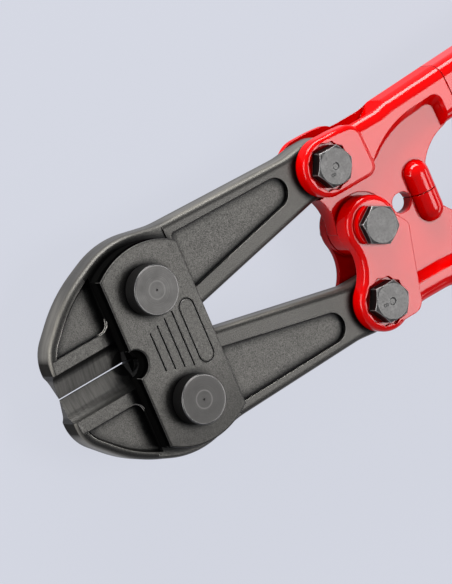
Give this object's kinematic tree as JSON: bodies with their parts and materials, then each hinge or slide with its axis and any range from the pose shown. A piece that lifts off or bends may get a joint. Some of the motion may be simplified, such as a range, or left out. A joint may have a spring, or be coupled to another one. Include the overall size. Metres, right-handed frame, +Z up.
{
  "type": "bolt cutters",
  "caption": "Compound-lever bolt cutters: forged jaws held by side plates, worked by red toggle levers on eccentric bolts, with flat-oval tube handles and grips.",
  "frame": {"origin": "middle of the footprint, on the surface that the tool lies on", "axes": "+X from the blades to the grips, +Y to the upper handle, +Z up along the pivot axes"},
  "size_m": [0.7552, 0.1756, 0.053],
  "materials": {
    "jaw_steel": "dark phosphated forging, fine grain",
    "plate_steel": "dark phosphated steel plate",
    "pin_steel": "turned and blackened steel",
    "bolt_steel": "blackened steel, blasted head faces",
    "bronze": "bearing bronze",
    "red_coat": "glossy red powder coat",
    "grip_plastic": "dark moulded grip",
    "grip_collar": "red moulded trim"
  },
  "bodies": {
    "head": {"front_side_plate": "plate_steel", "back_side_plate": "plate_steel", "upper_jaw_pin": "pin_steel", "lower_jaw_pin": "pin_steel", "upper_pin_collar": "pin_steel", "lower_pin_collar": "pin_steel"},
    "upper_jaw_body": {"upper_jaw": "jaw_steel"},
    "lower_jaw_body": {"lower_jaw": "jaw_steel"},
    "upper_handle": {"upper_lever": "red_coat", "upper_adjusting_bolt": "bolt_steel", "upper_adjusting_washer": "bolt_steel", "upper_adjusting_nut": "bolt_steel", "centre_pivot_bush": "bronze", "upper_handle_tube": "red_coat", "upper_cross_pins": "bolt_steel", "upper_grip": "grip_plastic", "upper_grip_collar": "grip_collar", "upper_end_plug": "grip_collar"},
    "lower_handle": {"lower_lever": "red_coat", "lower_adjusting_bolt": "bolt_steel", "lower_adjusting_washer": "bolt_steel", "lower_adjusting_nut": "bolt_steel", "centre_pivot_bolt": "bolt_steel", "centre_pivot_washer": "bolt_steel", "centre_pivot_nut": "bolt_steel", "lower_handle_tube": "red_coat", "lower_cross_pins": "bolt_steel", "lower_grip": "grip_plastic", "lower_grip_collar": "grip_collar", "lower_end_plug": "grip_collar"}
  },
  "joints": [
    {"name": "handle_opening", "type": "hinge", "parent": "upper_handle", "child": "lower_handle", "pos_m": [-0.18311, 0, 0.0265], "axis": [0, 0, -1], "range_deg": [0, 84]},
    {"name": "upper_jaw_pivot", "type": "hinge", "parent": "head", "child": "upper_jaw_body", "pos_m": [-0.31651, 0.03015, 0.0265], "axis": [0, 0, -1], "range_deg": [0, 6.69]},
    {"name": "lower_jaw_pivot", "type": "hinge", "parent": "head", "child": "lower_jaw_body", "pos_m": [-0.31651, -0.03015, 0.0265], "axis": [0, 0, 1], "range_deg": [0, 6.69]},
    {"name": "upper_arm_pivot", "type": "hinge", "parent": "upper_jaw_body", "child": "upper_handle", "pos_m": [-0.19241, 0.03785, 0.0265], "axis": [0, 0, 1], "range_deg": [0, 48.69]}
  ],
  "couplings": [
    {"joint": "upper_jaw_pivot", "follows": "handle_opening", "ratio": 0.079019},
    {"joint": "lower_jaw_pivot", "follows": "handle_opening", "ratio": 0.079019},
    {"joint": "upper_arm_pivot", "follows": "handle_opening", "ratio": 0.57902}
  ]
}
